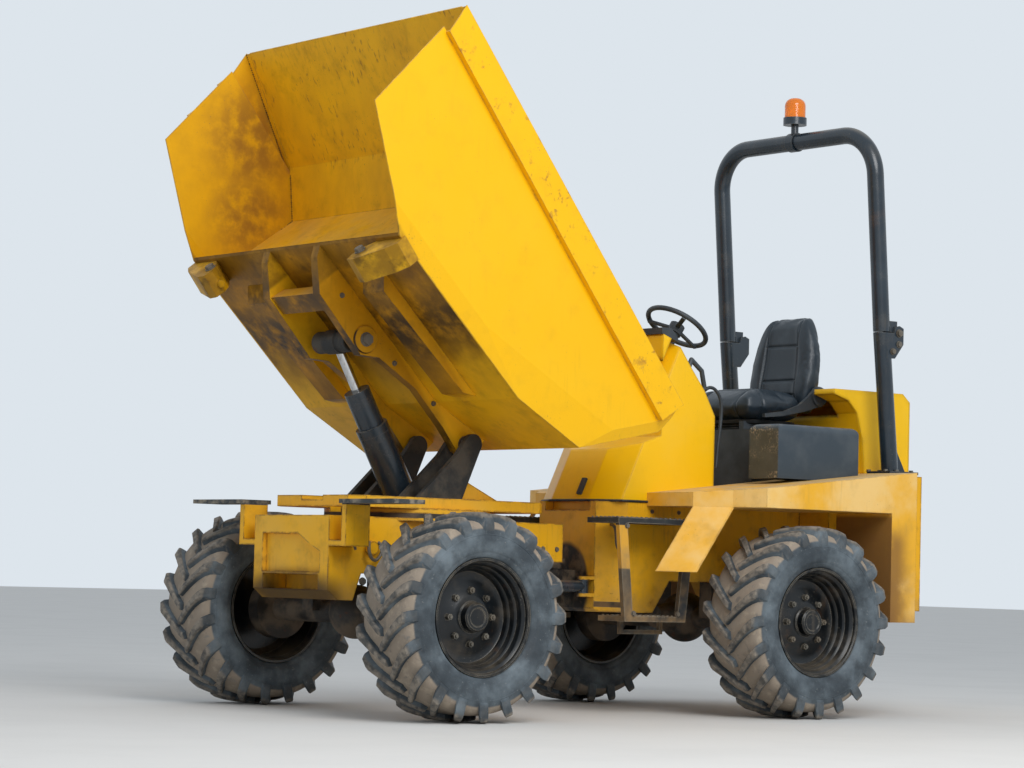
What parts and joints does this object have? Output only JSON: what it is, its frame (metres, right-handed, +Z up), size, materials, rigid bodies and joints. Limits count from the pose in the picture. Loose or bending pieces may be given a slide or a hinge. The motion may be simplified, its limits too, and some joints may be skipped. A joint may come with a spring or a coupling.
{
  "type": "articulated site dumper",
  "caption": "Articulated ride-on site dumper with a slewing, front-tipping skip raised on its ram, a seat with a folding roll hoop, a beacon and lugged tyres",
  "frame": {"origin": "on the ground, under the middle of the machine's box", "axes": "+Z up, -Y forward along the machine, +X to the operator's left"},
  "size_m": [2.31, 4.4588, 3.6804],
  "materials": {
    "yellow": "bright yellow paint, scuffed and dusty",
    "old_yellow": "faded yellow paint with rust and dirt",
    "black_paint": "black paint, worn",
    "grey_paint": "dark blue-grey paint, dusty",
    "axle_iron": "grimy cast iron",
    "chrome": "polished rod",
    "tyre": "dusty tyre rubber",
    "vinyl": "black vinyl",
    "black_plastic": "black plastic",
    "amber": "amber lens"
  },
  "bodies": {
    "rear_chassis": {"rear_frame": "old_yellow", "rear_axle": "axle_iron", "console": "yellow", "dash": "black_plastic", "seat_base": "black_paint", "seat_cushion": "vinyl", "seat_back": "vinyl", "engine": "axle_iron", "hitch": "axle_iron", "hoop_post_left": "black_paint", "hoop_post_right": "black_paint", "guard_left": "old_yellow", "cabinet_left": "black_paint", "steps_left": "old_yellow", "guard_right": "old_yellow", "cabinet_right": "black_paint", "steps_right": "old_yellow"},
    "front_chassis": {"front_frame": "old_yellow", "front_axle": "axle_iron", "slew_ring": "axle_iron"},
    "platform": {"platform": "old_yellow", "tip_hinges": "black_paint"},
    "skip": {"skip_floor": "yellow", "skip_rear": "yellow", "skip_side_left": "yellow", "skip_side_right": "yellow", "skip_apron": "yellow", "skip_subframe": "yellow"},
    "ram_barrel": {"ram_barrel": "black_paint"},
    "ram_stage": {"ram_stage": "black_paint"},
    "ram_rod": {"ram_rod": "chrome"},
    "steer_barrel": {"steer_barrel": "black_paint"},
    "steer_rod": {"steer_rod": "chrome"},
    "bonnet": {"bonnet": "yellow"},
    "hoop": {"hoop": "black_paint", "beacon_lens": "amber"},
    "steering_wheel": {"steering_wheel": "black_plastic"},
    "wheel_front_left": {"tyre_front_left": "tyre", "rim_front_left": "grey_paint"},
    "wheel_front_right": {"tyre_front_right": "tyre", "rim_front_right": "grey_paint"},
    "wheel_rear_left": {"tyre_rear_left": "tyre", "rim_rear_left": "grey_paint"},
    "wheel_rear_right": {"tyre_rear_right": "tyre", "rim_rear_right": "grey_paint"}
  },
  "joints": [
    {"name": "steer", "type": "hinge", "parent": "rear_chassis", "child": "front_chassis", "pos_m": [0, -0.24056, 0.70044], "axis": [0, 0, 1], "range_deg": [-33, 33]},
    {"name": "slew", "type": "hinge", "parent": "front_chassis", "child": "platform", "pos_m": [0, -1.23056, 1.09044], "axis": [0, 0, 1], "range_deg": [-90, 90]},
    {"name": "tip", "type": "hinge", "parent": "platform", "child": "skip", "pos_m": [0, -1.05056, 1.45044], "axis": [-1, 0, 0], "range_deg": [-52, 0]},
    {"name": "ram_swing", "type": "hinge", "parent": "platform", "child": "ram_barrel", "pos_m": [0, -1.24056, 1.10044], "axis": [-1, 0, 0], "range_deg": [-48.73, 0]},
    {"name": "ram_stage_slide", "type": "slide", "parent": "ram_barrel", "child": "ram_stage", "axis": [0, -0.4903, 0.8715], "range_m": [-0.17304, 0]},
    {"name": "ram_rod_slide", "type": "slide", "parent": "ram_stage", "child": "ram_rod", "axis": [0, -0.4903, 0.8715], "range_m": [-0.17304, 0]},
    {"name": "steer_ram_swing", "type": "hinge", "parent": "rear_chassis", "child": "steer_barrel", "pos_m": [0.22, -0.16556, 0.70044], "axis": [0, 0, 1], "range_deg": [-28.75, 28.75]},
    {"name": "steer_ram_slide", "type": "slide", "parent": "steer_barrel", "child": "steer_rod", "axis": [0, -1, 0], "range_m": [-0.12243, 0.12243]},
    {"name": "bonnet_lift", "type": "hinge", "parent": "rear_chassis", "child": "bonnet", "pos_m": [0, 2.12944, 1.42044], "axis": [-1, 0, 0], "range_deg": [0, 65]},
    {"name": "hoop_fold", "type": "hinge", "parent": "rear_chassis", "child": "hoop", "pos_m": [0, 1.78444, 2.23044], "axis": [-1, 0, 0], "range_deg": [0, 90]},
    {"name": "steering_wheel_turn", "type": "hinge", "parent": "rear_chassis", "child": "steering_wheel", "pos_m": [0, 0.67944, 2.22544], "axis": [0, 0.5446, 0.8387], "continuous": true},
    {"name": "wheel_front_left_spin", "type": "hinge", "parent": "front_chassis", "child": "wheel_front_left", "pos_m": [0.94, -1.55056, 0.53544], "axis": [1, 0, 0], "continuous": true},
    {"name": "wheel_front_right_spin", "type": "hinge", "parent": "front_chassis", "child": "wheel_front_right", "pos_m": [-0.94, -1.55056, 0.53544], "axis": [1, 0, 0], "continuous": true},
    {"name": "wheel_rear_left_spin", "type": "hinge", "parent": "rear_chassis", "child": "wheel_rear_left", "pos_m": [0.94, 0.78944, 0.53544], "axis": [1, 0, 0], "continuous": true},
    {"name": "wheel_rear_right_spin", "type": "hinge", "parent": "rear_chassis", "child": "wheel_rear_right", "pos_m": [-0.94, 0.78944, 0.53544], "axis": [1, 0, 0], "continuous": true}
  ],
  "couplings": [
    {"joint": "ram_swing", "follows": "tip", "ratio": 0.93703},
    {"joint": "ram_stage_slide", "follows": "tip", "m_per_rad": 0.19065},
    {"joint": "ram_rod_slide", "follows": "tip", "m_per_rad": 0.19065},
    {"joint": "steer_ram_swing", "follows": "steer", "ratio": 0.87101},
    {"joint": "steer_ram_slide", "follows": "steer", "m_per_rad": -0.2124}
  ]
}
